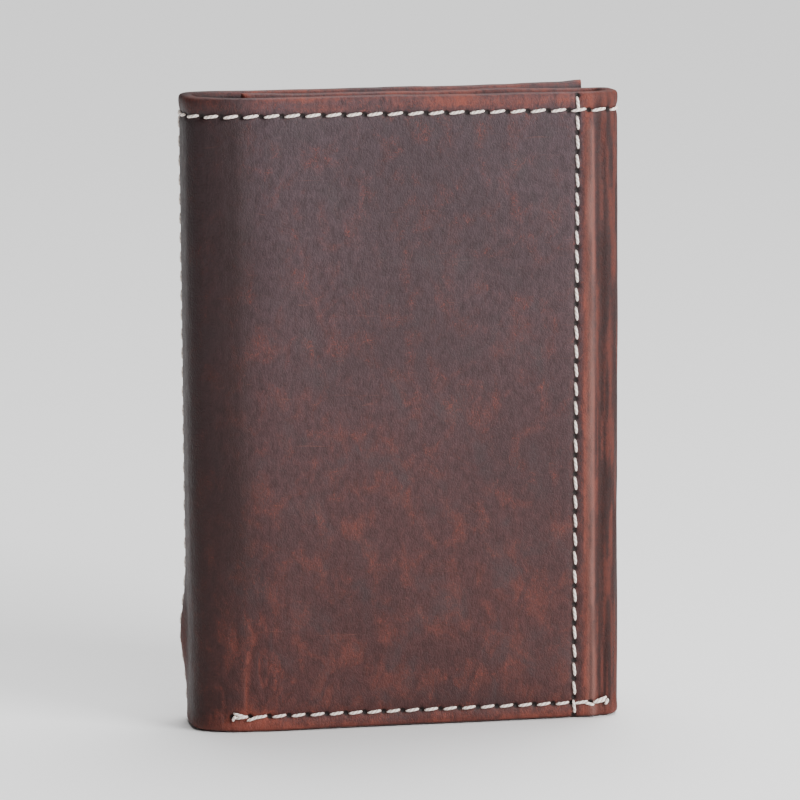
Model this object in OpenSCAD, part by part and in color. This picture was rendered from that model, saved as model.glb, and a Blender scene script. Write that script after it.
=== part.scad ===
// Trifold wallet, closed and standing on its lower edge.
// The middle panel faces -Y. The left fold carries the outer flap, which closes last,
// and the right fold carries the inner flap, which lies between the other two.
// All shapes are drawn with the left side at x = 0 and the middle panel's face at y = 0,
// and placed() then moves them to the middle of the wallet's footprint.

/* [Wallet] */
// Height of every leather panel
wallet_h = 108; // [90:1:130]
// Width of the closed wallet from fold to fold
wallet_w = 74; // [72:1:95]
// Distance from the left side to the free edge of the inner flap
inner_flap_inset = 10.5; // [10.5:0.5:24]
// Distance that the outer flap is shorter than the wallet's width
outer_flap_short = 0.6; // [0:0.1:8]
// Angle at which the outer flap leaves its fold
outer_tilt = 1.5; // [0:0.5:4]
// Distance from the left side at which the outer flap starts to curl away
curl_start = 22; // [20:1:30]
// Radius to which the outer flap curls
curl_r = 170; // [140:10:400]

/* [Layers] */
// Thickness of the outer leather
leather_t = 1.5; // [1:0.1:2]
// Thickness of the skived leather turned in along the top and bottom edges
hem_t = 0.9; // [0.5:0.1:1.2]
// Thickness of the bill compartment's lining
lining_t = 0.4; // [0.3:0.1:0.8]
// Thickness of the leather panel that carries the pockets
inner_panel_t = 0.7; // [0.5:0.1:1]
// Thickness of one card pocket
pocket_t = 0.6; // [0.5:0.1:1]
// Thickness of the clear window film
film_t = 0.3; // [0.2:0.1:0.5]
// Space between the middle panel's pockets and the inner flap's pockets
panel_gap = 0.8; // [0.6:0.1:2]
// Space between the inner flap and the outer flap
flap_gap = 3.2; // [2.4:0.1:5]

/* [Hems and seams] */
// Depth of the turned hem along the top edge
top_hem = 10; // [6:0.5:14]
// Depth of the turned hem along the bottom edge
bottom_hem = 7; // [5:0.5:10]
// Distance from the top edge to the hem's stitches
top_seam = 3.2; // [2:0.1:5]
// Distance from the bottom edge to its stitches
bottom_seam = 2.8; // [2:0.1:4.5]
// Distance from the right side to the middle panel's upright seam
upright_seam = 7.7; // [7:0.1:9]
// Sideways lean of the upright seam over its whole height
seam_lean = 0.8; // [0:0.1:1.5]
// Distance from a flap's free edge to its stitches
edge_seam = 2.6; // [2:0.1:4]
// Length from one hem stitch to the next
stitch_pitch = 3.4; // [3:0.1:5]
// Visible length of one stitch
stitch_l = 2.5; // [1.5:0.1:2.8]
// Width of the thread
thread_w = 0.55; // [0.4:0.05:0.8]
// Height of the thread above the leather
thread_h = 0.3; // [0.2:0.05:0.5]
// Angle that each stitch slants to its seam
stitch_slant = 8; // [0:1:15]

/* [Pockets and window] */
// Height of the step from one card pocket's mouth to the next
pocket_step = 12; // [8:0.5:15]
// Distance from the top edge to the rear pocket's mouth
pocket_drop = 16; // [10:0.5:22]
// Overlap of each pocket behind the one in front
pocket_lap = 8; // [4:0.5:12]
// Width of the leather border round the clear window
window_border = 8; // [6:0.5:12]
// Width that the film reaches under the border
film_lap = 4; // [2:0.5:5]
// Radius of the thumb notch at the window's lower edge
notch_r = 8; // [5:0.5:10]

/* [Hidden] */

// Facets of a full circle, and of the full circle that the outer flap's curl is part of
round_fn = 96;
curl_fn = 720;
// Height of the lower ends of linings and pockets above the leather's edge
foot = 1;
// Distance from the leather's top edge down to the lining's
lining_drop = 3;
// Distance from the leather's top edge down to the inner panel's
panel_drop = 4;
// Distance from a flap's free edge in to its inner pieces
edge_inset = 0.7;
// Distance from an inner piece's edge to its own stitches
pocket_seam = 1.6;
// Distance of each fold's pivot lines outside the leather
pivot_clear = 0.1;
// Angle of the wallet's wrap from a panel to its fold's pivot line
quarter = 45;
// Angle of the bottom seam's last stitch round each fold
left_wrap = 12;
right_wrap = 22;
// Length of the doubled stitches at each end of the bottom seam
tack_l = 4;
// Space between an end stitch and the edge or seam next to it
end_gap = 0.4;

// Depth from an outer face to the lining, to the inner panel and to what lies on that
lining_y = leather_t + hem_t;
panel_y = lining_y + lining_t;
pocket_y = panel_y + inner_panel_t;
pocket_stack = pocket_y + 3 * pocket_t;
frame_y = pocket_y + film_t;
window_stack = frame_y + pocket_t;

// Outside radius of each fold, from what it wraps
right_r = pocket_stack + panel_gap / 2;
left_r = (2 * right_r + flap_gap + window_stack) / 2;
left_c = [left_r, left_r];
right_c = [wallet_w - right_r, right_r];

// Where each panel's flat part starts and ends
flat_l = left_r;
flat_r = wallet_w - right_r;
outer_free = wallet_w - outer_flap_short;
inner_free = inner_flap_inset;

// The outer flap's pivot line, about which it is tilted
pivot_r = left_r + pivot_clear;
outer_pivot = left_c + pivot_r * [-cos(quarter), sin(quarter)];

// The axis of the outer flap's curl, and its angle at a distance x along the flap
curl_c = [curl_start, 2 * left_r + curl_r];
function curl(x) = max(0, x - curl_start) / curl_r * 180 / PI;

// Depth of the wallet, from the middle panel's thread to the outer flap's free edge
free_edge = curl_c + curl_r * [sin(curl(outer_free)), -cos(curl(outer_free))];
back_y = outer_pivot.y + (free_edge.x - outer_pivot.x) * sin(outer_tilt)
    + (free_edge.y - outer_pivot.y) * cos(outer_tilt);
depth_mid = (back_y - thread_h) / 2;

// Section of the outer leather with both hems, as depth and height
leather_section = [
    [0, 0], [lining_y, 0], [lining_y, bottom_hem], [leather_t, bottom_hem],
    [leather_t, wallet_h - top_hem], [lining_y, wallet_h - top_hem], [lining_y, wallet_h], [0, wallet_h]
];
lining_section = layer(lining_y, lining_t, foot, wallet_h - lining_drop);

// Section of a flat layer: depth, thickness and the heights between which it stands
function layer(y, t, z0, z1) = [[y, z0], [y + t, z0], [y + t, z1], [y, z1]];
// A section turned over, for a flap whose outer face is at depth y
function turned(section, y) = [for (i = [len(section) - 1 : -1 : 0]) [y - section[i][0], section[i][1]]];
// A section as distance from a fold's axis and height
function wrapped(section, r) = turned(section, r);

module placed() {
    translate([-wallet_w / 2, -depth_mid, 0]) children();
}

module tilted() {
    translate(outer_pivot) rotate(outer_tilt) translate(-outer_pivot) children();
}

// A section drawn out along X
module run(section, x0, x1) {
    translate([x0, 0, 0]) rotate([90, 0, 90]) linear_extrude(x1 - x0) polygon(section);
}

// A section taken round a fold's axis, from one angle on by a sweep either way
module bend(section, centre, r, from, sweep) {
    translate(centre) rotate(from) mirror([0, sweep < 0 ? 1 : 0, 0])
        rotate_extrude(angle = abs(sweep), $fn = round_fn) polygon(wrapped(section, r));
}

// A section drawn out along the outer flap, straight and then round its curl
module flap_run(section, x0, x1) {
    run(turned(section, 2 * left_r), x0, curl_start);
    translate(curl_c) rotate(-90) rotate_extrude(angle = curl(x1), $fn = curl_fn)
        polygon([for (p = section) [curl_r + p[0], p[1]]]);
}

// Moves what is drawn at x = 0 on the face y = 0 to a distance x along the outer flap's outer face
module on_flap(x) {
    if (x <= curl_start) translate([x, 2 * left_r, 0]) children();
    else translate(curl_c) rotate(curl(x)) translate([0, -curl_r, 0]) children();
}

// One stitch lying on the face y = 0, with its middle at x, z
module stitch(x, z, slant, length = stitch_l) {
    translate([x, -thread_h, z]) rotate([0, -slant, 0])
        translate([-length / 2, 0, -thread_w / 2]) cube([length, thread_h, thread_w]);
}

// Evenly spaced stitches along X, and along Z
module level_row(x0, x1, z) {
    count = floor((x1 - x0) / stitch_pitch);
    step = (x1 - x0) / count;
    for (i = [0 : count - 1]) stitch(x0 + (i + 0.5) * step, z, stitch_slant);
}

module upright_row(x0, x1, z0, z1) {
    count = floor((z1 - z0) / stitch_pitch);
    for (i = [0 : count - 1]) {
        up = (i + 0.5) / count;
        stitch(x0 + (x1 - x0) * up, z0 + (z1 - z0) * up, 90 + stitch_slant);
    }
}

// Stitches round a fold, at an even angle
module bent_row(centre, r, from, to, z) {
    count = floor((to - from) * PI / 180 * r / stitch_pitch);
    for (i = [0 : count - 1]) bent_stitch(centre, r, from + (to - from) * (i + 0.5) / count, z);
}

module bent_stitch(centre, r, angle, z) {
    translate([centre.x, centre.y, 0]) rotate(angle + 90) translate([0, -r, 0]) stitch(0, z, stitch_slant);
}

// Moves what lies on the face y = 0 to a flap's outer face, turned to look the other way
module onto_back(y) {
    translate([0, y, 0]) mirror([0, 1, 0]) children();
}

// Three pockets share one form: rear, centre and front are numbered 0, 1 and 2
function mouth(i) = wallet_h - pocket_drop - i * pocket_step;
function pocket_section(i) = i == 2
    ? layer(pocket_y + 2 * pocket_t, pocket_t, foot, mouth(2))
    : let (y = pocket_y + i * pocket_t, z = mouth(i + 1) - pocket_lap)
        [[y, foot], [y + pocket_t / 2, foot], [y + pocket_t / 2, z], [y + pocket_t, z],
         [y + pocket_t, mouth(i)], [y, mouth(i)]];

// --- Middle panel ---

module middle_leather() {
    color("#5f4648") placed() {
        run(leather_section, flat_l, flat_r);
        bend(leather_section, left_c, left_r, 270, -quarter);
        bend(leather_section, right_c, right_r, -90, quarter);
    }
}

module middle_lining() {
    color("#2e2624") placed() {
        run(lining_section, flat_l, flat_r);
        bend(lining_section, left_c, left_r, 270, -quarter);
        bend(lining_section, right_c, right_r, -90, quarter);
    }
}

module middle_inner_panel() {
    color("#4a3230") placed() run(layer(panel_y, inner_panel_t, foot, wallet_h - panel_drop), flat_l, flat_r);
}

module middle_pocket(i) {
    color("#553c3a") placed() run(pocket_section(i), flat_l, flat_r);
}

module middle_top_thread() {
    z = wallet_h - top_seam;
    color("#ddd0c4") placed() {
        level_row(flat_l, flat_r, z);
        bent_row(left_c, left_r, 270 - quarter, 270, z);
        bent_row(right_c, right_r, -90, -90 + quarter, z);
    }
}

module middle_upright_thread() {
    x = wallet_w - upright_seam;
    low = bottom_seam + stitch_pitch / 2;
    high = wallet_h - top_seam - stitch_pitch / 2;
    color("#ddd0c4") placed() {
        upright_row(x - seam_lean, x, low, high);
        end_stitch(x, wallet_h - top_seam, wallet_h);
        end_stitch(x - seam_lean, 0, bottom_seam);
    }
}

// The upright seam's last stitch, between a level seam and the panel's edge
module end_stitch(x, z0, z1) {
    stitch(x, (z0 + z1) / 2, 90, z1 - z0 - thread_w - 2 * end_gap);
}

module middle_bottom_thread() {
    z = bottom_seam;
    color("#ddd0c4") placed() {
        level_row(flat_l + tack_l + end_gap, flat_r - tack_l - end_gap, z);
        for (x = [flat_l + tack_l / 2, flat_r - tack_l / 2]) stitch(x, z, 0, tack_l);
        bent_stitch(left_c, left_r, 270 - left_wrap, z);
        bent_stitch(right_c, right_r, -90 + right_wrap, z);
    }
}

module pocket_thread(x0, x1) {
    for (x = [x0 + pocket_seam, x1 - pocket_seam]) {
        upright_row(x, x, foot + pocket_seam, mouth(2) - pocket_seam);
    }
    level_row(x0 + 2 * pocket_seam, x1 - 2 * pocket_seam, foot + pocket_seam);
}

module middle_pocket_thread() {
    color("#c9b8a8") placed() onto_back(pocket_stack) pocket_thread(flat_l, flat_r);
}

// --- Left fold ---

module left_fold_leather() {
    color("#3e302f") placed() bend(leather_section, left_c, left_r, 180 - quarter, 2 * quarter);
}

module left_fold_lining() {
    color("#2e2624") placed() bend(lining_section, left_c, left_r, 180 - quarter, 2 * quarter);
}

module left_fold_thread() {
    color("#ddd0c4") placed() bent_row(left_c, left_r, 180 - quarter, 180 + quarter, wallet_h - top_seam);
}

// --- Outer flap ---

module outer_flap_leather() {
    color("#5f4648") placed() tilted() {
        flap_run(leather_section, flat_l, outer_free);
        bend(leather_section, left_c, left_r, 90, quarter);
    }
}

module outer_flap_lining() {
    color("#2e2624") placed() tilted() {
        flap_run(lining_section, flat_l, outer_free - edge_inset);
        bend(lining_section, left_c, left_r, 90, quarter);
    }
}

module outer_flap_inner_panel() {
    section = layer(panel_y, inner_panel_t, foot, wallet_h - panel_drop);
    color("#4a3230") placed() tilted() flap_run(section, flat_l, outer_free - edge_inset);
}

// The window's opening: its sides lie inside the frame's by the border's width
window_l = flat_l + window_border;
window_r = outer_free - edge_inset - window_border;
window_low = foot + window_border + notch_r;
window_high = wallet_h - panel_drop - window_border;

module window_film() {
    section = layer(pocket_y, film_t, window_low - film_lap - notch_r, window_high + film_lap);
    color("#c8d2d4", 0.4) placed() tilted() flap_run(section, window_l - film_lap, window_r + film_lap);
}

module window_frame() {
    section = layer(frame_y, pocket_t, foot, wallet_h - panel_drop);
    color("#553c3a") placed() tilted() difference() {
        flap_run(section, flat_l, outer_free - edge_inset);
        translate([window_l, 0, window_low])
            cube([window_r - window_l, curl_c.y, window_high - window_low]);
        translate([(window_l + window_r) / 2, curl_c.y, window_low]) rotate([90, 0, 0])
            cylinder(r = notch_r, h = curl_c.y, $fn = round_fn);
    }
}

// Repeats a stitch drawn at x = 0 in an even row along the outer flap
module flap_row(x0, x1) {
    count = floor((x1 - x0) / stitch_pitch);
    for (i = [0 : count - 1]) on_flap(x0 + (x1 - x0) * (i + 0.5) / count) children();
}

module outer_flap_thread() {
    x1 = outer_free - edge_seam;
    low = bottom_seam + stitch_pitch / 2;
    high = wallet_h - top_seam - stitch_pitch / 2;
    color("#ddd0c4") placed() tilted() {
        for (z = [bottom_seam, wallet_h - top_seam]) flap_row(flat_l, x1) onto_back(0) stitch(0, z, stitch_slant);
        for (x = [flat_l, x1]) on_flap(x) onto_back(0) upright_row(0, 0, low, high);
        bent_row(left_c, left_r, 90, 90 + quarter, wallet_h - top_seam);
    }
}

module window_thread() {
    low = window_low - notch_r - pocket_seam;
    high = window_high + pocket_seam;
    face = [0, -window_stack, 0];
    color("#c9b8a8") placed() tilted() {
        for (x = [window_l - pocket_seam, window_r + pocket_seam])
            on_flap(x) translate(face) upright_row(0, 0, low, high);
        for (z = [low, high]) flap_row(window_l, window_r) translate(face) stitch(0, z, stitch_slant);
    }
}

// --- Right fold ---

module right_fold_leather() {
    color("#3e302f") placed() bend(leather_section, right_c, right_r, -quarter, 2 * quarter);
}

module right_fold_lining() {
    color("#2e2624") placed() bend(lining_section, right_c, right_r, -quarter, 2 * quarter);
}

module right_fold_thread() {
    color("#ddd0c4") placed() bent_row(right_c, right_r, -quarter, quarter, wallet_h - top_seam);
}

// --- Inner flap ---

module inner_flap_leather() {
    color("#5f4648") placed() {
        run(turned(leather_section, 2 * right_r), inner_free, flat_r);
        bend(leather_section, right_c, right_r, 90, -quarter);
    }
}

module inner_flap_lining() {
    color("#2e2624") placed() {
        run(turned(lining_section, 2 * right_r), inner_free + edge_inset, flat_r);
        bend(lining_section, right_c, right_r, 90, -quarter);
    }
}

module inner_flap_inner_panel() {
    section = layer(panel_y, inner_panel_t, foot, wallet_h - panel_drop);
    color("#4a3230") placed() run(turned(section, 2 * right_r), inner_free + edge_inset, flat_r);
}

module inner_flap_pocket(i) {
    color("#553c3a") placed()
        run(turned(pocket_section(i), 2 * right_r), inner_free + edge_inset, flat_r);
}

module inner_flap_thread() {
    low = bottom_seam + stitch_pitch / 2;
    high = wallet_h - top_seam - stitch_pitch / 2;
    color("#ddd0c4") placed() {
        onto_back(2 * right_r) {
            for (z = [bottom_seam, wallet_h - top_seam]) level_row(inner_free + edge_seam, flat_r, z);
            for (x = [inner_free + edge_seam, flat_r]) upright_row(x, x, low, high);
        }
        bent_row(right_c, right_r, 90 - quarter, 90, wallet_h - top_seam);
    }
}

module inner_flap_pocket_thread() {
    y = 2 * right_r - pocket_stack;
    color("#c9b8a8") placed() translate([0, y, 0]) pocket_thread(inner_free + edge_inset, flat_r);
}

middle_leather();
middle_lining();
middle_inner_panel();
middle_pocket(0);  // middle_pocket_rear
middle_pocket(1);  // middle_pocket_centre
middle_pocket(2);  // middle_pocket_front
middle_top_thread();
middle_upright_thread();
middle_bottom_thread();
middle_pocket_thread();
left_fold_leather();
left_fold_lining();
left_fold_thread();
outer_flap_leather();
outer_flap_lining();
outer_flap_inner_panel();
window_film();
window_frame();
outer_flap_thread();
window_thread();
right_fold_leather();
right_fold_lining();
right_fold_thread();
inner_flap_leather();
inner_flap_lining();
inner_flap_inner_panel();
inner_flap_pocket(0);  // inner_flap_pocket_rear
inner_flap_pocket(1);  // inner_flap_pocket_centre
inner_flap_pocket(2);  // inner_flap_pocket_front
inner_flap_thread();
inner_flap_pocket_thread();
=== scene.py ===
import math

import bmesh
import bpy
import numpy as np
from mathutils import Matrix, Vector


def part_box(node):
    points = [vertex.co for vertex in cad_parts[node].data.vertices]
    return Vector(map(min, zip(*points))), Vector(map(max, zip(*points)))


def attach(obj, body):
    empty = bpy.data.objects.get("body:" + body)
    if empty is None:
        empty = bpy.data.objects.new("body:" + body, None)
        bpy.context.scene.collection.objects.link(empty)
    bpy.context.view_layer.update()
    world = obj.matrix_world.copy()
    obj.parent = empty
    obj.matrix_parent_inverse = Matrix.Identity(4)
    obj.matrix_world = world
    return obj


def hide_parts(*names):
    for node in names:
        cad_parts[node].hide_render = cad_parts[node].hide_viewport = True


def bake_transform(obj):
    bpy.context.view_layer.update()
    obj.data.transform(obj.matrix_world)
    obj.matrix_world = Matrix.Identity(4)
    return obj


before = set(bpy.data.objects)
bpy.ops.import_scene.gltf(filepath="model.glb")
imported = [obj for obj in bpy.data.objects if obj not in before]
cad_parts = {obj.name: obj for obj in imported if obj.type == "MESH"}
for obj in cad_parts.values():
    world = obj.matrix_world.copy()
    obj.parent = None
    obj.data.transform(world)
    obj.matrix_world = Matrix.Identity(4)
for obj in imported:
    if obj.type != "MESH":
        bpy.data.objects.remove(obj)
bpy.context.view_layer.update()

# The wallet is worked out flat, in millimetres: s along the hide from the left, d inwards from its
# outer face, and z up. wrap() then closes it round its two folds, and place() puts it in the frame.

# --- Sizes, from the CAD model ---

MM = 0.001


def box_mm(node):
    return [np.array(corner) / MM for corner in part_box(node)]


front_low, front_high = box_mm("middle_leather")
left_low, left_high = box_mm("left_fold_leather")
right_low, right_high = box_mm("right_fold_leather")
lining_low, _ = box_mm("middle_lining")
panel_low, panel_high = box_mm("middle_inner_panel")

FRONT_Y = front_low[1]
LEFT_X = left_low[0]
WIDTH = right_high[0] - LEFT_X
HEIGHT = front_high[2]
LEFT_R = (left_high[1] - left_low[1]) / 2 / math.sin(math.pi / 4)
RIGHT_R = (right_high[1] - right_low[1]) / 2 / math.sin(math.pi / 4)
FLAT_L = LEFT_R
FLAT_R = WIDTH - RIGHT_R

# Depths of the layers
LEATHER = 1.5
LINING_D = lining_low[1] - FRONT_Y
PANEL_D = panel_low[1] - FRONT_Y
POCKET_D = panel_high[1] - FRONT_Y
POCKET_T = 0.6
FILM_T = 0.3
STACK_D = POCKET_D + 3 * POCKET_T
FRAME_D = POCKET_D + FILM_T

# The outer flap: its length, its lean, how far the lean's pivot is past the fold, and its curl
OUTER_FREE = 73.4
OUTER_LEAN = math.radians(1.5)
PIVOT_PAST = 0.1
CURL_START = 22.0
CURL_R = 170.0
INNER_FREE = box_mm("inner_flap_leather")[0][0] - LEFT_X

# Where each part of the hide starts and ends
LEFT_MID = FLAT_L - math.pi / 2 * LEFT_R
LEFT_END = FLAT_L - math.pi * LEFT_R
RIGHT_MID = FLAT_R + math.pi / 2 * RIGHT_R
RIGHT_END = FLAT_R + math.pi * RIGHT_R
OUTER_EDGE = LEFT_END - (OUTER_FREE - FLAT_L)
INNER_EDGE = RIGHT_END + (FLAT_R - INNER_FREE)

# Hems and seams
TOP_HEM = 10.0
BOTTOM_HEM = 7.0
EDGE_HEM = 6.0
TOP_SEAM = HEIGHT - 3.2
BOTTOM_SEAM = 2.8
EDGE_SEAM = 2.6
UPRIGHT_TOP = WIDTH - 7.7
UPRIGHT_LOW = WIDTH - 8.5
TACK_PAST = 3.4
LEFT_TACK = FLAT_L - TACK_PAST
RIGHT_TACK = FLAT_R + TACK_PAST
TOP_PITCH = 3.48
PITCH = 3.25
STITCH_GAP = 0.80
THREAD_W = 0.54
INNER_THREAD_W = 0.45
THREAD_R = 0.27
SEAM_D = 0.10
TACK_D = 0.02
TOP_SLANT = 8
SLANT = 7
UPRIGHT_SLANT = 97

# Linings, pockets and window. Each layer is drawn CLEAR short of its own faces
CLEAR = 0.02
FOOT = 1.0
LINING_TOP = HEIGHT - 3.0
PANEL_TOP = HEIGHT - 4.0
EDGE_INSET = 0.7
MOUTHS = [HEIGHT - 16.0 - 12.0 * i for i in range(3)]
POCKET_LAP = 8.0
POCKET_SEAM = 1.6
BORDER = 8.0
FILM_LAP = 4.0
NOTCH_R = 8.0


# --- From the flat to the closed wallet ---

def smooth(t):
    t = np.clip(t, 0, 1)
    return t * t * (3 - 2 * t)


PATH_POINTS = 400
PATH_BLUR = 61


def fold_path(radius, knots):
    """A fold's outline from half of it: knots give the distance along the half, as a share, and how
    far it has turned, in degrees. Returns distances and, at each, how far over, how deep and at what
    angle the hide lies."""
    half = math.pi / 2 * radius
    t = np.linspace(0, half, PATH_POINTS)
    turned = np.interp(t / half, [k[0] for k in knots], [math.radians(k[1]) for k in knots])
    blur = np.hanning(PATH_BLUR)
    turned = np.convolve(np.pad(turned, PATH_BLUR // 2, mode="edge"), blur / blur.sum(), mode="valid")
    turned = (turned - turned[0]) / (turned[-1] - turned[0]) * math.pi / 2
    step = t[1] - t[0]
    over = np.concatenate([[0], np.cumsum((np.cos(turned[1:]) + np.cos(turned[:-1])) / 2 * step)])
    deep = np.concatenate([[0], np.cumsum((np.sin(turned[1:]) + np.sin(turned[:-1])) / 2 * step)])
    over, deep = over * radius / over[-1], deep * radius / deep[-1]
    angle = np.unwrap(np.arctan2(np.gradient(deep), np.gradient(over)))
    angle[0], angle[-1] = 0, math.pi / 2
    t = np.concatenate([t, 2 * half - t[-2::-1]])
    over = np.concatenate([over, over[-2::-1]])
    deep = np.concatenate([deep, 2 * radius - deep[-2::-1]])
    angle = np.concatenate([angle, math.pi - angle[-2::-1]])
    return t, over, deep, angle


# Each fold slopes back from the face, turns at a rounded corner and is nearly flat at its side
LEFT_PATH = fold_path(LEFT_R, [(0, 0), (0.08, 7), (0.34, 23), (0.54, 31), (0.80, 84), (1, 90)])
RIGHT_PATH = fold_path(RIGHT_R, [(0, 0), (0.10, 10), (0.32, 14), (0.82, 86), (1, 90)])


def round_fold(path, t, d):
    """How far over and how deep a point lies, at a distance t round a fold and d under its surface."""
    over, deep, angle = (np.interp(t, path[0], values) for values in path[1:])
    return over - d * np.sin(angle), deep + d * np.cos(angle)


def wrap(s, d):
    """Where a point of the flat hide lies round the folds, from the left side and the front."""
    s, d = np.broadcast_arrays(np.asarray(s, float), np.asarray(d, float))
    x, y = s * 1.0, d * 1.0

    # Round the left fold
    past = FLAT_L - s
    left = past > 0
    over, deep = round_fold(LEFT_PATH, past, d)
    x = np.where(left, FLAT_L - over, x)
    y = np.where(left, deep, y)

    # Along the outer flap, which curls away from the rest
    along = FLAT_L + past - math.pi * LEFT_R
    flap = along > FLAT_L
    curl = np.maximum(0, along - CURL_START) / CURL_R
    x = np.where(flap, np.minimum(along, CURL_START) + (CURL_R + d) * np.sin(curl), x)
    y = np.where(flap, 2 * LEFT_R + CURL_R - (CURL_R + d) * np.cos(curl), y)

    # The flap leans out, and the back of the fold goes with it
    pivot_r = (LEFT_R + PIVOT_PAST) * math.sin(math.pi / 4)
    px, py = LEFT_R - pivot_r, LEFT_R + pivot_r
    lean = OUTER_LEAN * smooth(past / (math.pi / 2 * LEFT_R) - 1) * left
    x, y = (px + (x - px) * np.cos(lean) - (y - py) * np.sin(lean),
            py + (x - px) * np.sin(lean) + (y - py) * np.cos(lean))

    # Round the right fold and back along the inner flap
    past = s - FLAT_R
    right = past > 0
    back = s > RIGHT_END
    over, deep = round_fold(RIGHT_PATH, past, d)
    x = np.where(right, FLAT_R + over, x)
    y = np.where(right, deep, y)
    x = np.where(back, FLAT_R - (s - RIGHT_END), x)
    y = np.where(back, 2 * RIGHT_R - d, y)
    return x, y


def swelling(s, z):
    """How far the back of the left fold stands out to the left, low down."""
    return 1.0 * hump(z - 15.5, 6.5) * smooth((LEFT_MID + 0.5 - s) / 3) * smooth((s - LEFT_END) / 7)


def framed(s, d, z):
    """Points of the flat hide in the frame, in metres."""
    x, y = wrap(s, d)
    x = x - swelling(s, z)
    return np.stack([(x + LEFT_X) * MM, (y + FRONT_Y) * MM, np.asarray(z, float) * MM + 0 * x], -1)


KNOTS = 89
KNOT_SHIFT = 500


def uneven(s, z, across, up, seed):
    """Soft unevenness from -1 to 1, with humps that are across by up mm. It repeats after KNOTS
    humps, and KNOT_SHIFT keeps it above zero where s is below zero."""
    knots = np.random.default_rng(seed).uniform(-1, 1, (KNOTS, KNOTS))
    u, v = s / across + KNOT_SHIFT, z / up + KNOT_SHIFT
    i, j = np.floor(u).astype(int), np.floor(v).astype(int)
    fu, fv = smooth(u - i), smooth(v - j)
    i, j, right, above = i % KNOTS, j % KNOTS, (i + 1) % KNOTS, (j + 1) % KNOTS
    low = knots[i, j] * (1 - fu) + knots[right, j] * fu
    high = knots[i, above] * (1 - fu) + knots[right, above] * fu
    return low * (1 - fv) + high * fv


def hump(t, width):
    """A smooth peak at zero, down to about a third at the width."""
    return np.exp(-(t / width) ** 2)


# --- Seams: rows of stitches on the flat hide ---

def row(start, end, pitch):
    """Even steps along a row, each (from, to)."""
    count = max(1, round(abs(end - start) / pitch))
    edges = np.linspace(start, end, count + 1)
    return list(zip(edges[:-1], edges[1:]))


def upright_s(z):
    """The upright seam's place at a height, since the seam leans a little."""
    return UPRIGHT_LOW + (UPRIGHT_TOP - UPRIGHT_LOW) * z / HEIGHT


TOP_ROW = row(OUTER_EDGE + EDGE_SEAM, INNER_EDGE - EDGE_SEAM, TOP_PITCH)
BOTTOM_ROWS = [
    row(OUTER_EDGE + EDGE_SEAM, LEFT_END, PITCH),
    row(LEFT_TACK, RIGHT_TACK, PITCH),
    row(RIGHT_END, INNER_EDGE - EDGE_SEAM, PITCH),
]
UPRIGHT_ROW = row(0.5, HEIGHT - 0.5, PITCH)
EDGE_ROW = row(BOTTOM_SEAM, TOP_SEAM, PITCH)
FOLD_SEAM = LEFT_MID - 4.05
EDGE_LINES = [OUTER_EDGE + EDGE_SEAM, FOLD_SEAM, RIGHT_END, INNER_EDGE - EDGE_SEAM]


def seam_marks(s, z):
    """How near each point is to a seam's line and to its needle holes, both from 0 to 1."""
    line = np.zeros_like(s)
    holes = np.zeros_like(s)
    lines = [(TOP_ROW, s, z - TOP_SEAM)]
    lines += [(steps, s, z - BOTTOM_SEAM) for steps in BOTTOM_ROWS]
    lines += [(UPRIGHT_ROW, z, s - upright_s(z))]
    lines += [(EDGE_ROW, z, s - at) for at in EDGE_LINES]
    for steps, along, off in lines:
        start, end = steps[0][0], steps[-1][1]
        step = steps[0][1] - start
        inside = (along > start - step / 2) & (along < end + step / 2)
        phase = (along - start) / step
        gap = np.abs(phase - np.round(phase)) * step
        line = np.maximum(line, hump(off, 0.95) * inside)
        holes = np.maximum(holes, hump(np.hypot(gap * 0.9, off), 0.46) * inside)
    return line, holes


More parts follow.
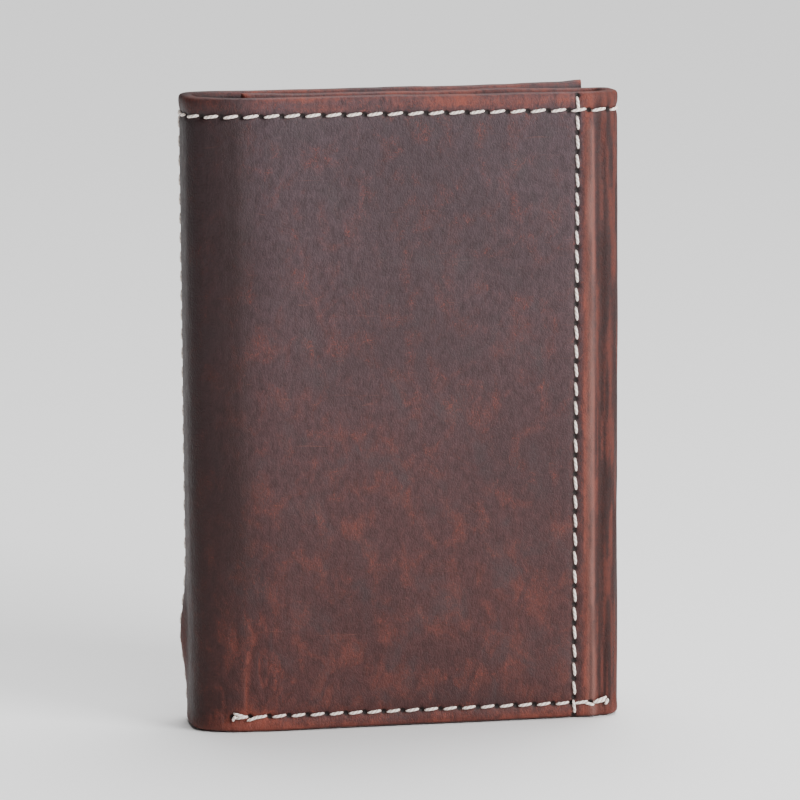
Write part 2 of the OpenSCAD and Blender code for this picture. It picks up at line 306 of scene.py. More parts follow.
def relief(s, z):
    """How far the outer leather stands out, in mm, and, from 0 to 1, how worn and pierced it is, how
    much painted shade it gets and how much painted highlight lies on the ridge beside the upright seam."""
    line, holes = seam_marks(s, z)
    strip = smooth((s - UPRIGHT_TOP) / 1.5) * smooth((RIGHT_MID - s) / 3)
    out = 0.10 * uneven(s, z, 24, 38, 1) + 0.05 * uneven(s, z, 7, 15, 2)
    out += 0.018 * uneven(s, z, 1.6, 3.4, 3) + 0.012 * uneven(s, z, 0.8, 1.3, 4)
    out -= 0.17 * line + 0.32 * holes
    out -= 0.40 * smooth((15 - s) / 6) * smooth((s - 1) / 7)
    out += 0.07 * hump(z - HEIGHT + 1.3, 1.0) + 0.07 * hump(z - 1.1, 0.9)

    # The strip beside the upright seam rises to a ridge and dips before the fold
    wander = 0.25 * uneven(s * 0, z, 1, 17, 5)
    ridge = hump(s - FLAT_R - 0.2 - wander, 0.75)
    hollow = hump(s - FLAT_R - 2.1 - wander, 1.05)
    out += (0.26 * ridge - 0.42 * hollow) * smooth((TOP_SEAM - z) / 4)
    out += 0.07 * strip * uneven(s, z, 0.9, 11, 6)

    # Short creases where the lower end of the left fold has been bent
    bent = hump(s - 8, 6.5) * smooth((36 - z) / 26)
    crease = 1 - np.abs(uneven(s, z, 1.3, 5.5, 7))
    out -= 0.16 * bent * crease ** 6
    fold = smooth((FLAT_L + 1 - s) / 5) * smooth((s - LEFT_END) / 4)
    out -= 0.05 * fold * (1 - np.abs(uneven(s, z, 1.1, 13, 8))) ** 5

    # Rims, the strip, the creases, a corner and the back of the swelling are rubbed redder
    mottle = 0.5 + 0.5 * uneven(s, z, 2.2, 5, 9)
    fine = 0.5 + 0.5 * uneven(s, z, 0.9, 1.8, 10)
    streak = 0.5 + 0.5 * uneven(s, z, 9, 1.1, 11)
    rim = hump(HEIGHT - z, 0.8) * (0.15 + 0.4 * streak)
    rim += 0.62 * hump(z - HEIGHT + 1.6, 1.5) * (0.35 + streak)
    rim += hump(z, 0.9) * 0.8 + 0.45 * hump(z - 1.6, 1.5)
    worn = rim * (0.55 + 0.7 * mottle)
    lines = smooth(0.5 + 1.0 * uneven(s, z, 0.45, 8, 12))
    worn += strip * (0.42 + 0.5 * lines * lines)
    worn += 0.45 * hump(s - FLAT_R + 0.6, 0.9) * strip + 0.3 * hump(s - FLAT_R - 5.4, 1.5) * lines
    worn += bent * (0.3 * fine + 0.65 * crease ** 6)
    worn += 0.4 * hump(s - 9, 5) * hump(z, 4) * (0.5 + mottle)
    worn += 0.8 * hump(np.hypot(s - 9, z - 1.5), 2.6)
    worn = np.maximum(worn, 0.6 * strip * hollow)
    bulge = hump(z - 12, 9) * hump(s - FOLD_SEAM, 4)
    worn += 0.8 * bulge

    # Painted shade: darker on the left fold and on the streaked strip past the right fold's ridge, where
    # they turn from the light, with a thin painted contact shadow along the lower edge
    beyond = smooth((s - FLAT_R - 0.4) / 1.3)
    painted_shade = 0.78 * smooth((FLAT_L + 3.5 - s) / 6) * smooth((s - LEFT_END) / 6)
    painted_shade = np.maximum(painted_shade, strip * (0.10 + 0.60 * beyond + 0.30 * (1 - lines)))
    painted_shade = painted_shade * (1 - 0.4 * rim) * (1 - 0.6 * bent)
    painted_shade = np.maximum(painted_shade, 0.9 * hump(z, 0.5)) * (1 - 0.9 * bulge)
    # A painted highlight along the ridge beside the upright seam, where it catches the light
    ridge_highlight = hump(s - FLAT_R - 0.1 - wander, 0.75) * smooth((TOP_SEAM - 1 - z) / 3) * (0.55 + 0.45 * lines)
    return out, np.clip(worn, 0, 1), holes, np.clip(painted_shade, 0, 1), ridge_highlight


# --- Making pieces ---

def bend_point(s):
    return tuple(framed(s, PANEL_D, HEIGHT / 2))


# Each part of the hide: its body, or the two bodies it bends between and the places from one to the
# other. Only a lone body is used here; the bends are not made
MOVES = {
    "outer": ("left_fold", "outer_flap", bend_point(LEFT_MID), bend_point(LEFT_END)),
    "left": ("middle_panel", "left_fold", bend_point(FLAT_L), bend_point(LEFT_MID)),
    "middle": ("middle_panel",),
    "right": ("middle_panel", "right_fold", bend_point(FLAT_R), bend_point(RIGHT_MID)),
    "inner": ("right_fold", "inner_flap", bend_point(RIGHT_MID), bend_point(RIGHT_END)),
}


def part_at(s):
    for name, end in (("outer", LEFT_MID), ("left", FLAT_L), ("middle", FLAT_R), ("right", RIGHT_MID)):
        if s < end:
            return name
    return "inner"


def flat_coords(bm):
    """The flat points s, d, z of a mesh that isn't wrapped yet."""
    co = np.array([v.co for v in bm.verts], float).reshape(-1, 3)
    return co[:, 0], co[:, 1], co[:, 2]


def place(bm):
    """Wraps a flat mesh, and keeps each point's flat place for the materials."""
    s, d, z = flat_coords(bm)
    hide = bm.verts.layers.float_vector.new("hide")
    for v, to, at in zip(bm.verts, framed(s, d, z), zip(s, z, d)):
        v[hide] = at
        v.co = to


def finished(name, bm, material, part, nodes):
    """Makes the object of a placed mesh, shades it, and fixes it to its body where it has only one; a
    part between two bodies is only baked in place.
    """
    bmesh.ops.recalc_face_normals(bm, faces=bm.faces)
    for face in bm.faces:
        face.smooth = True
    mesh = bpy.data.meshes.new(name)
    bm.to_mesh(mesh)
    bm.free()
    mesh.materials.append(material)
    obj = bpy.data.objects.new(name, mesh)
    bpy.context.scene.collection.objects.link(obj)
    move = MOVES[part]
    if len(move) == 1:
        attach(obj, move[0])
    else:
        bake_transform(obj)
    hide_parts(*nodes)
    return obj


def drawn_out(section, stations):
    """A closed section of (d, z) drawn along the stations, open at both ends."""
    bm = bmesh.new()
    verts = [bm.verts.new((stations[0], d, z)) for d, z in section]
    edges = [bm.edges.new((a, b)) for a, b in zip(verts, verts[1:] + verts[:1])]
    for before, after in zip(stations[:-1], stations[1:]):
        made = bmesh.ops.extrude_edge_only(bm, edges=edges)["geom"]
        edges = [e for e in made if isinstance(e, bmesh.types.BMEdge)]
        moved = [v for v in made if isinstance(v, bmesh.types.BMVert)]
        bmesh.ops.translate(bm, verts=moved, vec=(after - before, 0, 0))
    return bm


def close_ends(bm):
    ends = [e for e in bm.edges if e.is_boundary]
    return bmesh.ops.holes_fill(bm, edges=ends, sides=0)["faces"]


def spaced(start, end, coarse, fine, near, reach):
    """Places from start to end, closer together near the given ones."""
    places = [start]
    while places[-1] < end - coarse * 0.6:
        close = any(abs(places[-1] - at) < reach for at in near)
        places.append(places[-1] + (fine if close else coarse))
    places[-1] = end
    return places


SQUARENESS = 0.62


def squared(t):
    """Makes a round edge's sine or cosine that of a squarer one."""
    return math.copysign(abs(t) ** SQUARENESS, t)


def hem_section(coarse, fine):
    """The hide's section, with its edges turned in and rounded at the top and bottom."""
    r = LINING_D / 2
    face = spaced(r, HEIGHT - r, coarse, fine, (BOTTOM_SEAM, TOP_SEAM), 1.3)
    arc = [math.pi * i / 12 for i in range(1, 12)]
    section = [(0, z) for z in face]
    section += [(r - r * squared(math.cos(a)), HEIGHT - r + r * squared(math.sin(a))) for a in arc]
    section += [(LINING_D, HEIGHT - r - 2.2 * i) for i in range(5)]
    section += [(LEATHER, z) for z in np.linspace(HEIGHT - TOP_HEM - 0.4, BOTTOM_HEM + 0.4, 18)]
    section += [(LINING_D, z) for z in np.linspace(BOTTOM_HEM, r, 4)]
    section += [(r + r * squared(math.cos(a)), r - r * squared(math.sin(a))) for a in arc]
    return section


def leather(name, part, start, end, step, coarse, nodes, free=None):
    """A part of the hide from start to end. free is its free edge's place, turned in and rounded."""
    # One more station past each join, for the shading only
    before = [start - step * 0.9] if free != start else []
    after = [end + step * 0.9] if free != end else []
    stations = spaced(start, end, step, step, (), 0)
    if free is not None:
        tail = [0.1, 0.25, 0.5, 0.8, 1.2]
        inner = [p for p in stations if abs(p - free) > tail[-1] + 0.1]
        close = [free + math.copysign(t, (start + end) / 2 - free) for t in tail]
        stations = sorted(inner + close + [free])
    stations = before + stations + after
    bm = drawn_out(hem_section(coarse, 0.24), stations)

    s, d, z = flat_coords(bm)
    shown = np.clip(1 - d / LEATHER, 0, 1)
    inside = smooth((d - LINING_D + 0.5) / 0.4) * smooth((HEIGHT - 0.5 - z) / 0.6)
    out, worn, holes, painted_shade, ridge_highlight = relief(s, z)
    if free is not None:
        near = np.abs(s - free)
        deep = (d > LEATHER * 0.9) & (z > BOTTOM_HEM / 2) & (z < HEIGHT - TOP_HEM / 2)
        turned = smooth((EDGE_HEM - near) / 0.8)
        d = np.where(deep & (d < LINING_D), d + (LINING_D - LEATHER) * turned, d)
        r = LINING_D / 2
        round_off = np.sqrt(np.clip(1 - np.clip(1 - near / r, 0, 1) ** 2, 0.04, 1))
        d = r + (d - r) * round_off
        worn = np.clip(worn + 0.8 * hump(near, 1.2), 0, 1)
    # The top and bottom edges aren't quite straight
    wave = 0.16 * uneven(s, z * 0, 11, 1, 13) + 0.06 * uneven(s, z * 0, 3.5, 1, 14) - 0.12
    z = z + wave * smooth((z - HEIGHT + 4) / 4)
    z = z + (0.10 * uneven(s, z * 0, 13, 1, 15) + 0.10) * smooth((1.5 - z) / 1.5)
    d = d - out * shown

    # The marks: wear, needle holes, painted shade (the inner faces of the turned hem are shaded nearly
    # black as well) and a painted highlight on the ridge beside the upright seam
    marks = ("worn", "hole", "fold", "ridge_highlight")
    rubbed, pierced, dark, ridge_highlight_layer = (bm.verts.layers.float.new(mark) for mark in marks)
    hide = bm.verts.layers.float_vector.new("hide")
    shade = bm.verts.layers.float_vector.new("shade")
    cap = bm.faces.layers.int.new("cap")
    points = framed(s, d, z)
    ghosts = []
    for i, v in enumerate(bm.verts):
        v[rubbed], v[pierced] = worn[i] * (1 - inside[i]), holes[i] * shown[i]
        v[dark], v[ridge_highlight_layer] = max(painted_shade[i], 0.85 * inside[i]), ridge_highlight[i] * shown[i]
        v[hide] = s[i], z[i], d[i]
        v.co = points[i]
        if s[i] < start - 0.01 or s[i] > end + 0.01:
            ghosts.append(v)

    # Shade across the joins with the neighbouring parts, as if the hide were one mesh
    bmesh.ops.recalc_face_normals(bm, faces=bm.faces)
    bm.normal_update()
    for v in bm.verts:
        v[shade] = v.normal
    bmesh.ops.delete(bm, geom=ghosts, context="VERTS")
    for face in close_ends(bm):
        face[cap] = 1
    obj = finished(name, bm, OUTER_LEATHER, part, nodes)
    mesh = obj.data
    normals = np.zeros(len(mesh.vertices) * 3)
    mesh.attributes["shade"].data.foreach_get("vector", normals)
    corner = np.zeros(len(mesh.loops), int)
    mesh.loops.foreach_get("vertex_index", corner)
    normals = normals.reshape(-1, 3)[corner]
    for polygon in mesh.polygons:
        if mesh.attributes["cap"].data[polygon.index].value:
            for i in polygon.loop_indices:
                normals[i] = polygon.normal
    mesh.attributes.remove(mesh.attributes["shade"])
    mesh.attributes.remove(mesh.attributes["cap"])
    mesh.normals_split_custom_set(normals.tolist())
    return obj


def layer(name, part, section, start, end, material, nodes, step=2.0, soften=0.12):
    """A flat layer inside the wallet, drawn from start to end with its edges softened."""
    count = max(2, round(abs(end - start) / step))
    bm = drawn_out(section, list(np.linspace(start, end, count + 1)))
    close_ends(bm)
    bmesh.ops.recalc_face_normals(bm, faces=bm.faces)
    sharp = [e for e in bm.edges if e.calc_face_angle(0) > 0.6]
    bmesh.ops.bevel(bm, geom=sharp, offset=soften, offset_type="OFFSET", segments=2, profile=0.5,
                    affect="EDGES", material=-1, clamp_overlap=True)
    place(bm)
    obj = finished(name, bm, material, part, nodes)
    obj.data.set_sharp_from_angle(angle=math.radians(50))
    return obj


def band(d, thick, low, high):
    return [(d, low), (d + thick, low), (d + thick, high), (d, high)]


# --- Materials ---

def socket(tree, value, to):
    """Feeds a shader socket from a node's output, or sets it."""
    if isinstance(value, bpy.types.NodeSocket):
        tree.links.new(value, to)
    else:
        to.default_value = value


def add(tree, kind, inputs=(), output=0, **settings):
    node = tree.nodes.new(kind)
    for key, value in settings.items():
        setattr(node, key, value)
    for key, value in dict(inputs).items():
        socket(tree, value, node.inputs[key])
    return node.outputs[output]


def math_node(tree, operation, a, b=0.0):
    return add(tree, "ShaderNodeMath", {0: a, 1: b}, operation=operation)


def times(tree, a, b):
    return math_node(tree, "MULTIPLY", a, b)


def parts_of(tree, vector):
    """The first two parts of a vector."""
    node = add(tree, "ShaderNodeSeparateXYZ", {"Vector": vector}).node
    return node.outputs[0], node.outputs[1]


def scaled(tree, vector, across, up, deep=1.0):
    return add(tree, "ShaderNodeMapping", {"Vector": vector, "Scale": (across, up, deep)})


def noise(tree, vector, scale, detail=2.0, roughness=0.5, distortion=0.0):
    return add(tree, "ShaderNodeTexNoise", {
        "Vector": vector, "Scale": scale, "Detail": detail, "Roughness": roughness,
        "Distortion": distortion})


def spread(tree, value, low, high, to_low=0.0, to_high=1.0):
    return add(tree, "ShaderNodeMapRange", {
        "Value": value, "From Min": low, "From Max": high, "To Min": to_low, "To Max": to_high},
        interpolation_type="SMOOTHSTEP")


def mixed(tree, factor, a, b):
    """The colour a, turned to b by the factor. The numbers are the mix node's colour sockets."""
    node = tree.nodes.new("ShaderNodeMix")
    node.data_type = "RGBA"
    socket(tree, factor, node.inputs[0])
    socket(tree, a, node.inputs[6])
    socket(tree, b, node.inputs[7])
    return node.outputs[2]


def bumped(tree, height, distance, strength=1.0, normal=None):
    inputs = {"Height": height, "Distance": distance, "Strength": strength}
    if normal is not None:
        inputs["Normal"] = normal
    return add(tree, "ShaderNodeBump", inputs)


def colour(code):
    """A linear colour from a hex code."""
    parts = [int(code[i:i + 2], 16) / 255 for i in (0, 2, 4)]
    return tuple(c / 12.92 if c <= 0.04045 else ((c + 0.055) / 1.055) ** 2.4 for c in parts) + (1.0,)


def new_material(name):
    material = bpy.data.materials.new(name)
    material.use_nodes = True
    tree = material.node_tree
    shader = tree.nodes["Principled BSDF"]
    return material, tree, shader


def attribute(tree, name, output="Vector"):
    return add(tree, "ShaderNodeAttribute", output=output, attribute_name=name)


def make_outer_leather():
    material, tree, shader = new_material("distressed_leather")
    hide = attribute(tree, "hide")
    worn = attribute(tree, "worn", "Fac")
    hole = attribute(tree, "hole", "Fac")
    fold = attribute(tree, "fold", "Fac")
    ridge_highlight = attribute(tree, "ridge_highlight", "Fac")

    clouds = noise(tree, hide, 0.035, 3.0, 0.55)
    patches = noise(tree, scaled(tree, hide, 0.26, 0.19), 1.0, 4.0, 0.62, 0.6)
    streaks = noise(tree, scaled(tree, hide, 1.05, 0.55), 1.0, 5.0, 0.70, 0.3)
    blooms = noise(tree, scaled(tree, hide, 0.16, 0.12), 1.0, 4.0, 0.6, 0.6)
    veins = noise(tree, scaled(tree, hide, 0.55, 0.38), 1.0, 4.0, 0.6, 1.2)
    grain = noise(tree, scaled(tree, hide, 3.2, 2.0), 1.0, 4.0, 0.6)
    pores = add(tree, "ShaderNodeTexVoronoi", {"Vector": scaled(tree, hide, 2.1, 1.5), "Scale": 1.0},
                feature="DISTANCE_TO_EDGE")
    scuffs = noise(tree, scaled(tree, hide, 0.10, 1.6), 1.0, 3.0, 0.6, 0.8)

    # The colour runs from red-brown at the foot, the leather's own, to grey-brown at the top, a painted
    # sheen as from a soft light above
    _, height = parts_of(tree, hide)
    low = mixed(tree, spread(tree, streaks, 0.25, 0.75), colour("331c1b"), colour("482a29"))
    high = mixed(tree, spread(tree, streaks, 0.25, 0.75), colour("302427"), colour("45373c"))
    rise = math_node(tree, "ADD", height, times(tree, clouds, 40.0))
    tone = mixed(tree, spread(tree, rise, 20.0, 130.0), low, high)
    red = spread(tree, rise, 20.0, 110.0, 0.36, 0.12)
    tone = mixed(tree, times(tree, spread(tree, patches, 0.46, 0.68), red), tone, colour("64342b"))
    tone = mixed(tree, spread(tree, blooms, 0.50, 0.70, 0.0, 0.38), tone, colour("3a3234"))
    tone = mixed(tree, spread(tree, clouds, 0.42, 0.62, 0.0, 0.25), tone, colour("2a1a1b"))
    tone = mixed(tree, spread(tree, grain, 0.52, 0.78, 0.0, 0.16), tone, colour("705450"))
    tone = mixed(tree, spread(tree, grain, 0.48, 0.24, 0.0, 0.20), tone, colour("1c0e0e"))

    # Fine red veins in the patches and where it's worn
    thin = math_node(tree, "ABSOLUTE", math_node(tree, "SUBTRACT", veins, 0.5))
    where = math_node(tree, "ADD", patches, times(tree, worn, 0.5))
    vein = times(tree, spread(tree, thin, 0.016, 0.0), spread(tree, where, 0.45, 0.75, 0.0, 0.6))
    tone = mixed(tree, vein, tone, colour("7e3c2e"))

    # Wear and scuffs, then painted shade on the folds, along the foot and inside the hem, a painted
    # highlight on the ridge beside the upright seam, and painted shade in the needle holes
    rub = times(tree, worn, spread(tree, streaks, 0.22, 0.72, 0.35, 1.0))
    tone = mixed(tree, spread(tree, rub, 0.05, 0.95, 0.0, 0.85), tone, colour("7c3f33"))
    tone = mixed(tree, times(tree, spread(tree, scuffs, 0.66, 0.76), 0.20), tone, colour("7a4a3c"))
    tone = mixed(tree, times(tree, fold, 0.8), tone, colour("1b0a08"))
    tone = mixed(tree, times(tree, ridge_highlight, 0.5), tone, colour("6a5651"))
    # Painted shade in the needle holes
    tone = mixed(tree, spread(tree, hole, 0.12, 0.65), tone, colour("120706"))
    socket(tree, tone, shader.inputs["Base Color"])

    gloss = spread(tree, streaks, 0.25, 0.75, 0.46, 0.60)
    socket(tree, math_node(tree, "ADD", gloss, times(tree, worn, 0.10)), shader.inputs["Roughness"])
    cells = spread(tree, pores, 0.0, 0.22)
    normal = bumped(tree, grain, 0.00006, 0.7)
    normal = bumped(tree, cells, 0.00005, 0.55, normal)
    normal = bumped(tree, streaks, 0.00012, 0.6, normal)
    socket(tree, normal, shader.inputs["Normal"])
    shader.inputs["Specular IOR Level"].default_value = 0.22
    return material


def make_inner_leather():
    material, tree, shader = new_material("smooth_leather")
    hide = attribute(tree, "hide")
    clouds = noise(tree, hide, 0.06, 3.0, 0.5)
    grain = noise(tree, hide, 2.6, 4.0, 0.6)
    pores = add(tree, "ShaderNodeTexVoronoi", {"Vector": hide, "Scale": 1.7}, feature="DISTANCE_TO_EDGE")
    tone = mixed(tree, spread(tree, clouds, 0.35, 0.65), colour("3f2826"), colour("573a35"))
    tone = mixed(tree, spread(tree, grain, 0.45, 0.75, 0.0, 0.5), tone, colour("6b4a42"))
    socket(tree, tone, shader.inputs["Base Color"])
    socket(tree, spread(tree, grain, 0.3, 0.7, 0.42, 0.58), shader.inputs["Roughness"])
    normal = bumped(tree, spread(tree, pores, 0.0, 0.2), 0.00005, 0.6)
    normal = bumped(tree, grain, 0.00005, 0.6, normal)
    socket(tree, normal, shader.inputs["Normal"])
    return material


WEAVE_PITCH = 0.42


def make_lining():
    material, tree, shader = new_material("woven_lining")
    hide = attribute(tree, "hide")
    s, z = parts_of(tree, hide)
    across, up = (math_node(tree, "SINE", times(tree, t, 2 * math.pi / WEAVE_PITCH)) for t in (s, z))
    weave = times(tree, across, up)
    slubs = noise(tree, scaled(tree, hide, 0.6, 5.0), 1.0, 2.0)
    tone = mixed(tree, spread(tree, weave, -1, 1), colour("1d1614"), colour("3a2e2a"))
    tone = mixed(tree, spread(tree, slubs, 0.45, 0.7, 0.0, 0.4), tone, colour("463833"))
    socket(tree, tone, shader.inputs["Base Color"])
    socket(tree, bumped(tree, weave, 0.00008, 0.8), shader.inputs["Normal"])
    shader.inputs["Roughness"].default_value = 0.82
    shader.inputs["Sheen Weight"].default_value = 0.25
    return material


TWIST_PITCH = 0.8


def make_thread(name, light, dark):
    material, tree, shader = new_material(name)
    ply = attribute(tree, "ply")
    along, around = parts_of(tree, ply)
    turns = math_node(tree, "ADD", times(tree, along, 2 * math.pi / TWIST_PITCH),
                      times(tree, around, 2.0))
    twist = math_node(tree, "SINE", turns)
    fuzz = noise(tree, ply, 3.0, 3.0)
    tone = mixed(tree, spread(tree, twist, -1, 0.2), dark, light)
    tone = mixed(tree, spread(tree, fuzz, 0.45, 0.75, 0.0, 0.4), tone, dark)
    socket(tree, tone, shader.inputs["Base Color"])
    socket(tree, bumped(tree, twist, 0.00005, 0.6), shader.inputs["Normal"])
    shader.inputs["Roughness"].default_value = 0.6
    return material


def make_film():
    material, tree, shader = new_material("clear_film")
    hide = attribute(tree, "hide")
    ripple = noise(tree, scaled(tree, hide, 0.12, 0.05), 1.0, 2.0)
    socket(tree, bumped(tree, ripple, 0.0004, 0.4), shader.inputs["Normal"])
    shader.inputs["Base Color"].default_value = (0.10, 0.09, 0.09, 1)
    shader.inputs["Roughness"].default_value = 0.14
    shader.inputs["IOR"].default_value = 1.45
    shader.inputs["Alpha"].default_value = 0.16
    return material


OUTER_LEATHER = make_outer_leather()
INNER_LEATHER = make_inner_leather()
LINING = make_lining()
SEAM_THREAD = make_thread("waxed_seam_thread", colour("f7eee6"), colour("cdb9ac"))
INNER_THREAD = make_thread("waxed_inner_thread", colour("cdb9a7"), colour("8d7666"))
FILM = make_film()


# --- Outer leather ---

leather("leather_middle", "middle", FLAT_L, FLAT_R, 0.30, 0.45, ["middle_leather"])
leather("leather_left_fold", "left", LEFT_MID, FLAT_L, 0.30, 0.45, ["left_fold_leather"])
leather("leather_outer_flap", "outer", OUTER_EDGE, LEFT_MID, 0.42, 0.60, ["outer_flap_leather"],
        free=OUTER_EDGE)
leather("leather_right_fold", "right", FLAT_R, RIGHT_MID, 0.25, 0.45, ["right_fold_leather"])
leather("leather_inner_flap", "inner", RIGHT_MID, INNER_EDGE, 0.45, 0.65, ["inner_flap_leather"],
        free=INNER_EDGE)


# --- Lining of the bill compartment ---

LINING_JOIN = FLAT_R - 8.0
LININGS = [
    ("lining_middle", "left", LEFT_MID, LINING_JOIN, ["middle_lining", "left_fold_lining"]),
    ("lining_right_fold", "right", LINING_JOIN, RIGHT_MID, ["right_fold_lining"]),
    ("lining_outer_flap", "outer", OUTER_EDGE + EDGE_INSET, LEFT_MID, ["outer_flap_lining"]),
    ("lining_inner_flap", "inner", RIGHT_MID, INNER_EDGE - EDGE_INSET, ["inner_flap_lining"]),
]
for name, part, start, end, nodes in LININGS:
    cloth = layer(name, part, band(LINING_D + 0.06, 0.3, FOOT, LINING_TOP), start, end, LINING,
                  nodes, step=0.8, soften=0.08)


# --- Inner panels and card pockets ---

def pocket_section(i):
    """A pocket's strip with a creased line under its mouth, and its thin tail behind the next one."""
    d = POCKET_D + i * POCKET_T + CLEAR
    top = MOUTHS[i]
    out = d + POCKET_T - 2 * CLEAR
    crease = [(out, top - 2.2), (out - 0.12, top - 1.9), (out, top - 1.6)]
    if i == 2:
        return [(d, FOOT), (out, FOOT)] + crease + [(out, top), (d, top)]
    z = MOUTHS[i + 1] - POCKET_LAP
    half = d + POCKET_T / 2 - CLEAR
    return [(d, FOOT), (half, FOOT), (half, z), (out, z)] + crease + [(out, top), (d, top)]


PANEL_BAND = band(PANEL_D + CLEAR, POCKET_D - PANEL_D - 2 * CLEAR, FOOT, PANEL_TOP)
INSIDES = [
    ("middle", "middle", FLAT_L + 0.05, FLAT_R - 0.05, "middle"),
    ("inner_flap", "inner", RIGHT_END + 0.05, INNER_EDGE - EDGE_INSET, "inner_flap"),
]
for name, part, start, end, stem in INSIDES:
    layer(f"panel_{name}", part, PANEL_BAND, start, end, INNER_LEATHER,
          [f"{stem}_inner_panel"], soften=0.2)
    for i, rank in enumerate(("rear", "centre", "front")):
        layer(f"pocket_{name}_{rank}", part, pocket_section(i), start, end, INNER_LEATHER,
              [f"{stem}_pocket_{rank}"], soften=0.1)


# --- Card window on the outer flap ---

def flap_s(along):
    """The place on the hide at a distance along the outer flap."""
    return LEFT_END - (along - FLAT_L)


layer("panel_outer_flap", "outer", PANEL_BAND, OUTER_EDGE + EDGE_INSET, LEFT_END, INNER_LEATHER,
      ["outer_flap_inner_panel"], soften=0.2)

WINDOW_L = flap_s(OUTER_FREE - EDGE_INSET - BORDER)
WINDOW_R = flap_s(FLAT_L + BORDER)
WINDOW_LOW = FOOT + BORDER + NOTCH_R
WINDOW_HIGH = PANEL_TOP - BORDER
layer("card_window", "outer", band(POCKET_D + 0.03, FILM_T - 0.06, WINDOW_LOW - NOTCH_R - FILM_LAP,
                                   WINDOW_HIGH + FILM_LAP),
      WINDOW_L - FILM_LAP, WINDOW_R + FILM_LAP, FILM, ["window_film"], soften=0.04)


def rounded(corners, r, steps=6):
    """The corners of a rectangle (s0, z0, s1, z1), rounded."""
    s0, z0, s1, z1 = corners
    loop = []
    centres = ((s1 - r, z0 + r, -90), (s1 - r, z1 - r, 0), (s0 + r, z1 - r, 90), (s0 + r, z0 + r, 180))
    for cs, cz, a0 in centres:
        for i in range(steps + 1):
            a = math.radians(a0 + 90 * i / steps)
            loop.append((cs + r * math.cos(a), cz + r * math.sin(a)))
    return loop


def window_border():
    """The frame over the film, with the thumb notch at the foot of its opening."""
    bm = bmesh.new()
    d = FRAME_D + CLEAR
    outer = rounded((OUTER_EDGE + EDGE_INSET, FOOT, LEFT_END, PANEL_TOP), 0.6, 3)
    middle = (WINDOW_L + WINDOW_R) / 2
    opening = rounded((WINDOW_L, WINDOW_LOW, WINDOW_R, WINDOW_HIGH), 2.0)
    notch = [(middle - NOTCH_R * math.cos(a), WINDOW_LOW - NOTCH_R * math.sin(a))
             for a in np.linspace(0, math.pi, 17)]
    opening = notch + opening
    for loop in (outer, opening):
        verts = [bm.verts.new((s, d, z)) for s, z in loop]
        for a, b in zip(verts, verts[1:] + verts[:1]):
            bm.edges.new((a, b))
    bmesh.ops.triangle_fill(bm, edges=bm.edges, use_beauty=True, normal=(0, 1, 0))
    made = bmesh.ops.extrude_face_region(bm, geom=bm.faces[:])["geom"]
    up = [v for v in made if isinstance(v, bmesh.types.BMVert)]
    bmesh.ops.translate(bm, verts=up, vec=(0, POCKET_T - 2 * CLEAR, 0))
    bmesh.ops.recalc_face_normals(bm, faces=bm.faces)
    sharp = [e for e in bm.edges if e.calc_face_angle(0) > 1.0]
    bmesh.ops.bevel(bm, geom=sharp, offset=0.14, offset_type="OFFSET", segments=2, profile=0.5,
                    affect="EDGES", material=-1, clamp_overlap=True)
    # Cut it across, so that it can bend with the flap
    for at in np.arange(OUTER_EDGE + 3, LEFT_END - 1, 2.5):
        bmesh.ops.bisect_plane(bm, geom=bm.verts[:] + bm.edges[:] + bm.faces[:], plane_co=(at, 0, 0),
                               plane_no=(1, 0, 0))
    place(bm)
    obj = finished("window_border", bm, INNER_LEATHER, "outer", ["window_frame"])
    obj.data.set_sharp_from_angle(angle=math.radians(50))


window_border()


# --- Stitches ---

threads = {}


def stitch(group, s, z, slant, length, face, side=-1, width=THREAD_W):
    """One stitch, its middle at the depth face, standing out of the outer face (side -1) or of the
    inner one (side 1)."""
    bm = threads.setdefault((group, part_at(s)), bmesh.new())
    ply = bm.verts.layers.float_vector.get("ply") or bm.verts.layers.float_vector.new("ply")
    made = bmesh.ops.create_uvsphere(bm, u_segments=8, v_segments=7, radius=1)["verts"]
    cos, sin = math.cos(math.radians(slant)), math.sin(math.radians(slant))
    for v in made:
        tip = max(-1.0, min(1.0, v.co.z))
        along = math.copysign(abs(tip) ** 0.85, tip)
        girth = (1 - along ** 4) ** 0.5 / max(1e-4, (1 - tip * tip) ** 0.5) if abs(tip) < 0.999 else 0
        across, high = v.co.x * girth * width / 2, v.co.y * girth * THREAD_R
        lift = 0.12 - 0.26 * along ** 4
        along *= length / 2
        v[ply] = (along, math.atan2(v.co.y, v.co.x), 0)
        v.co = (s + along * cos - across * sin, face + side * (high + lift),
                z + along * sin + across * cos)


def level(group, steps, z, slant=SLANT, **more):
    """A row of stitches at the height z."""
    for a, b in steps:
        stitch(group, (a + b) / 2, z, slant, (b - a) - STITCH_GAP, **more)


def upright(group, steps, at, **more):
    """A row of stitches going up, at the place at or, if that's a function, at what it gives."""
    for a, b in steps:
        middle = (a + b) / 2
        s = at(middle) if callable(at) else at
        stitch(group, s, middle, UPRIGHT_SLANT, (b - a) - STITCH_GAP, **more)


level("seam", TOP_ROW, TOP_SEAM, TOP_SLANT, face=SEAM_D)
for steps in BOTTOM_ROWS:
    level("seam", steps, BOTTOM_SEAM, face=SEAM_D)
upright("seam", UPRIGHT_ROW, upright_s, face=SEAM_D)
for line in EDGE_LINES:
    upright("seam", EDGE_ROW, line, face=SEAM_D)

# The bottom seam goes back over itself at both ends
for at, way in ((LEFT_TACK, 1), (RIGHT_TACK, -1)):
    stitch("seam", at + way * 1.5, BOTTOM_SEAM + 0.35, -way * 16, 2.7, face=TACK_D)
    stitch("seam", at + way * 3.6, BOTTOM_SEAM - 0.25, way * 18, 2.2, face=TACK_D)
    stitch("seam", at + way * 0.35, BOTTOM_SEAM - 0.15, 62, 1.2, face=TACK_D)

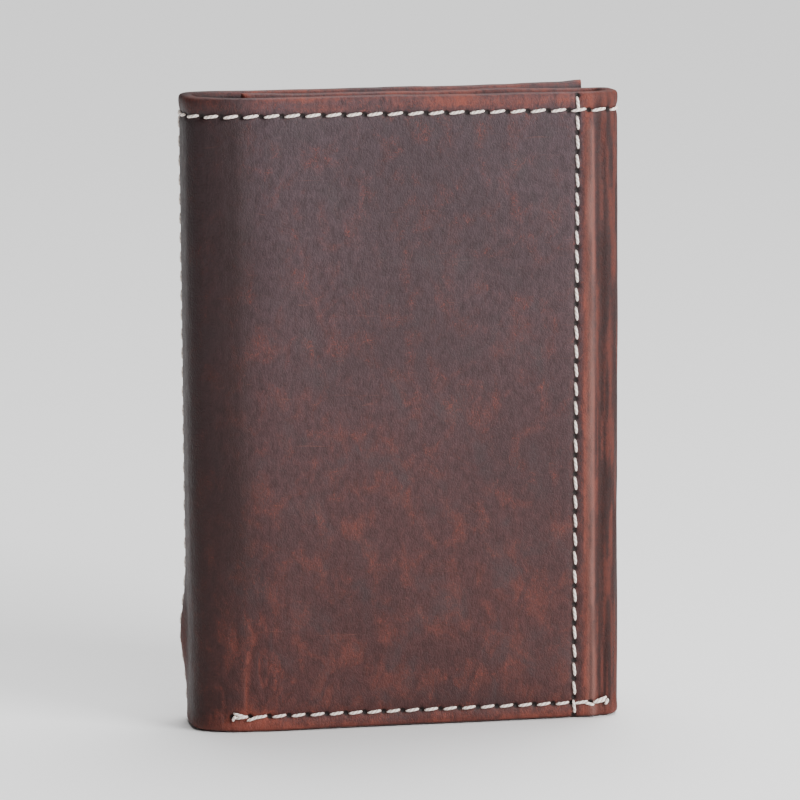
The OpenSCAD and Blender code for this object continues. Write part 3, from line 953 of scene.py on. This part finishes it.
# The pockets' seams: up both sides, and along the foot
pocket_face = {"face": STACK_D - 0.06, "side": 1, "width": INNER_THREAD_W}
low = FOOT + POCKET_SEAM
high = MOUTHS[2] - POCKET_SEAM
for start, end in ((FLAT_L, FLAT_R), (RIGHT_END, INNER_EDGE - EDGE_INSET)):
    for at in (start + POCKET_SEAM, end - POCKET_SEAM):
        upright("pocket", row(low, high, PITCH), at, **pocket_face)
    level("pocket", row(start + 2 * POCKET_SEAM, end - 2 * POCKET_SEAM, PITCH), low, **pocket_face)

# The window's seam goes round its frame
window_face = {"face": FRAME_D + POCKET_T - 0.02, "side": 1, "width": INNER_THREAD_W}
low = WINDOW_LOW - NOTCH_R - POCKET_SEAM
high = WINDOW_HIGH + POCKET_SEAM
for at in (WINDOW_L - POCKET_SEAM, WINDOW_R + POCKET_SEAM):
    upright("window", row(low, high, PITCH), at, **window_face)
for z in (low, high):
    level("window", row(WINDOW_L, WINDOW_R, PITCH), z, **window_face)

THREAD_NODES = {
    ("seam", "middle"): ["middle_top_thread", "middle_upright_thread", "middle_bottom_thread"],
    ("seam", "left"): ["left_fold_thread"],
    ("seam", "outer"): ["outer_flap_thread"],
    ("seam", "right"): ["right_fold_thread"],
    ("seam", "inner"): ["inner_flap_thread"],
    ("pocket", "middle"): ["middle_pocket_thread"],
    ("pocket", "inner"): ["inner_flap_pocket_thread"],
    ("window", "outer"): ["window_thread"],
}
for (group, part), bm in sorted(threads.items()):
    place(bm)
    material, slot = (SEAM_THREAD, "seam_thread") if group == "seam" else (INNER_THREAD, "inner_thread")
    finished(f"{group}_thread_{part}", bm, material, part, THREAD_NODES[group, part])


# --- Floor, light and camera ---

def make_floor():
    material, tree, shader = new_material("pale_floor")
    shader.inputs["Base Color"].default_value = (0.93, 0.93, 0.93, 1)
    shader.inputs["Roughness"].default_value = 0.9
    bm = bmesh.new()
    bmesh.ops.create_grid(bm, x_segments=1, y_segments=1, size=8)
    mesh = bpy.data.meshes.new("floor")
    bm.to_mesh(mesh)
    bm.free()
    mesh.materials.append(material)
    floor = bpy.data.objects.new("floor", mesh)
    bpy.context.scene.collection.objects.link(floor)


def soft_light(name, spot, aim, size, power):
    data = bpy.data.lights.new(name, "AREA")
    data.shape = "RECTANGLE"
    data.size, data.size_y = size
    data.energy = power
    light = bpy.data.objects.new(name, data)
    light.location = spot
    light.rotation_euler = (Vector(aim) - Vector(spot)).to_track_quat("-Z", "Y").to_euler()
    bpy.context.scene.collection.objects.link(light)


def overhead(name, towards, strength):
    """Even light from above, as from a white ceiling."""
    data = bpy.data.lights.new(name, "SUN")
    data.angle = math.radians(50)
    data.energy = strength
    light = bpy.data.objects.new(name, data)
    light.rotation_euler = (-Vector(towards)).to_track_quat("-Z", "Y").to_euler()
    bpy.context.scene.collection.objects.link(light)


def surroundings():
    """White to the camera, and a dimmer even light on the wallet."""
    world = bpy.data.worlds.new("studio")
    world.use_nodes = True
    bpy.context.scene.world = world
    tree = world.node_tree
    seen = tree.nodes["Background"]
    seen.inputs["Color"].default_value = (1, 1, 1, 1)
    path = add(tree, "ShaderNodeLightPath", output="Is Camera Ray")
    socket(tree, spread(tree, path, 0, 1, 0.13, 4.0), seen.inputs["Strength"])


CAMERA_TURN = (9.902, 8.454, -0.412)
CAMERA_AIM = (0.000105, -0.004919, 0.055024)
CAMERA_DISTANCE = 0.7149
CAMERA_LENS = 187.97


def aim_camera():
    """Turned right, down and clockwise by CAMERA_TURN, in degrees, and looking at CAMERA_AIM."""
    yaw, pitch, roll = (math.radians(a) for a in CAMERA_TURN)
    middle = Vector(CAMERA_AIM)
    look = Vector((math.sin(yaw) * math.cos(pitch), math.cos(yaw) * math.cos(pitch), -math.sin(pitch)))
    side = Vector((math.cos(yaw), -math.sin(yaw), 0))
    up = side.cross(look)
    right = side * math.cos(roll) + up * math.sin(roll)
    up = up * math.cos(roll) - side * math.sin(roll)
    data = bpy.data.cameras.new("camera")
    data.sensor_width = 36
    data.lens = CAMERA_LENS
    data.clip_start = 0.01
    camera = bpy.data.objects.new("camera", data)
    turn = Matrix((right, up, -look)).transposed().to_4x4()
    camera.matrix_world = Matrix.Translation(middle - look * CAMERA_DISTANCE) @ turn
    bpy.context.scene.collection.objects.link(camera)
    bpy.context.scene.camera = camera


make_floor()
surroundings()
soft_light("key", (0.66, -0.66, 0.42), (0, 0, 0.07), (0.5, 0.5), 15)
soft_light("front", (0.25, -1.1, 0.75), (0, 0, 0.08), (0.6, 0.4), 5)
overhead("overhead", (0.2, 0.35, 1.0), 4.0)
aim_camera()
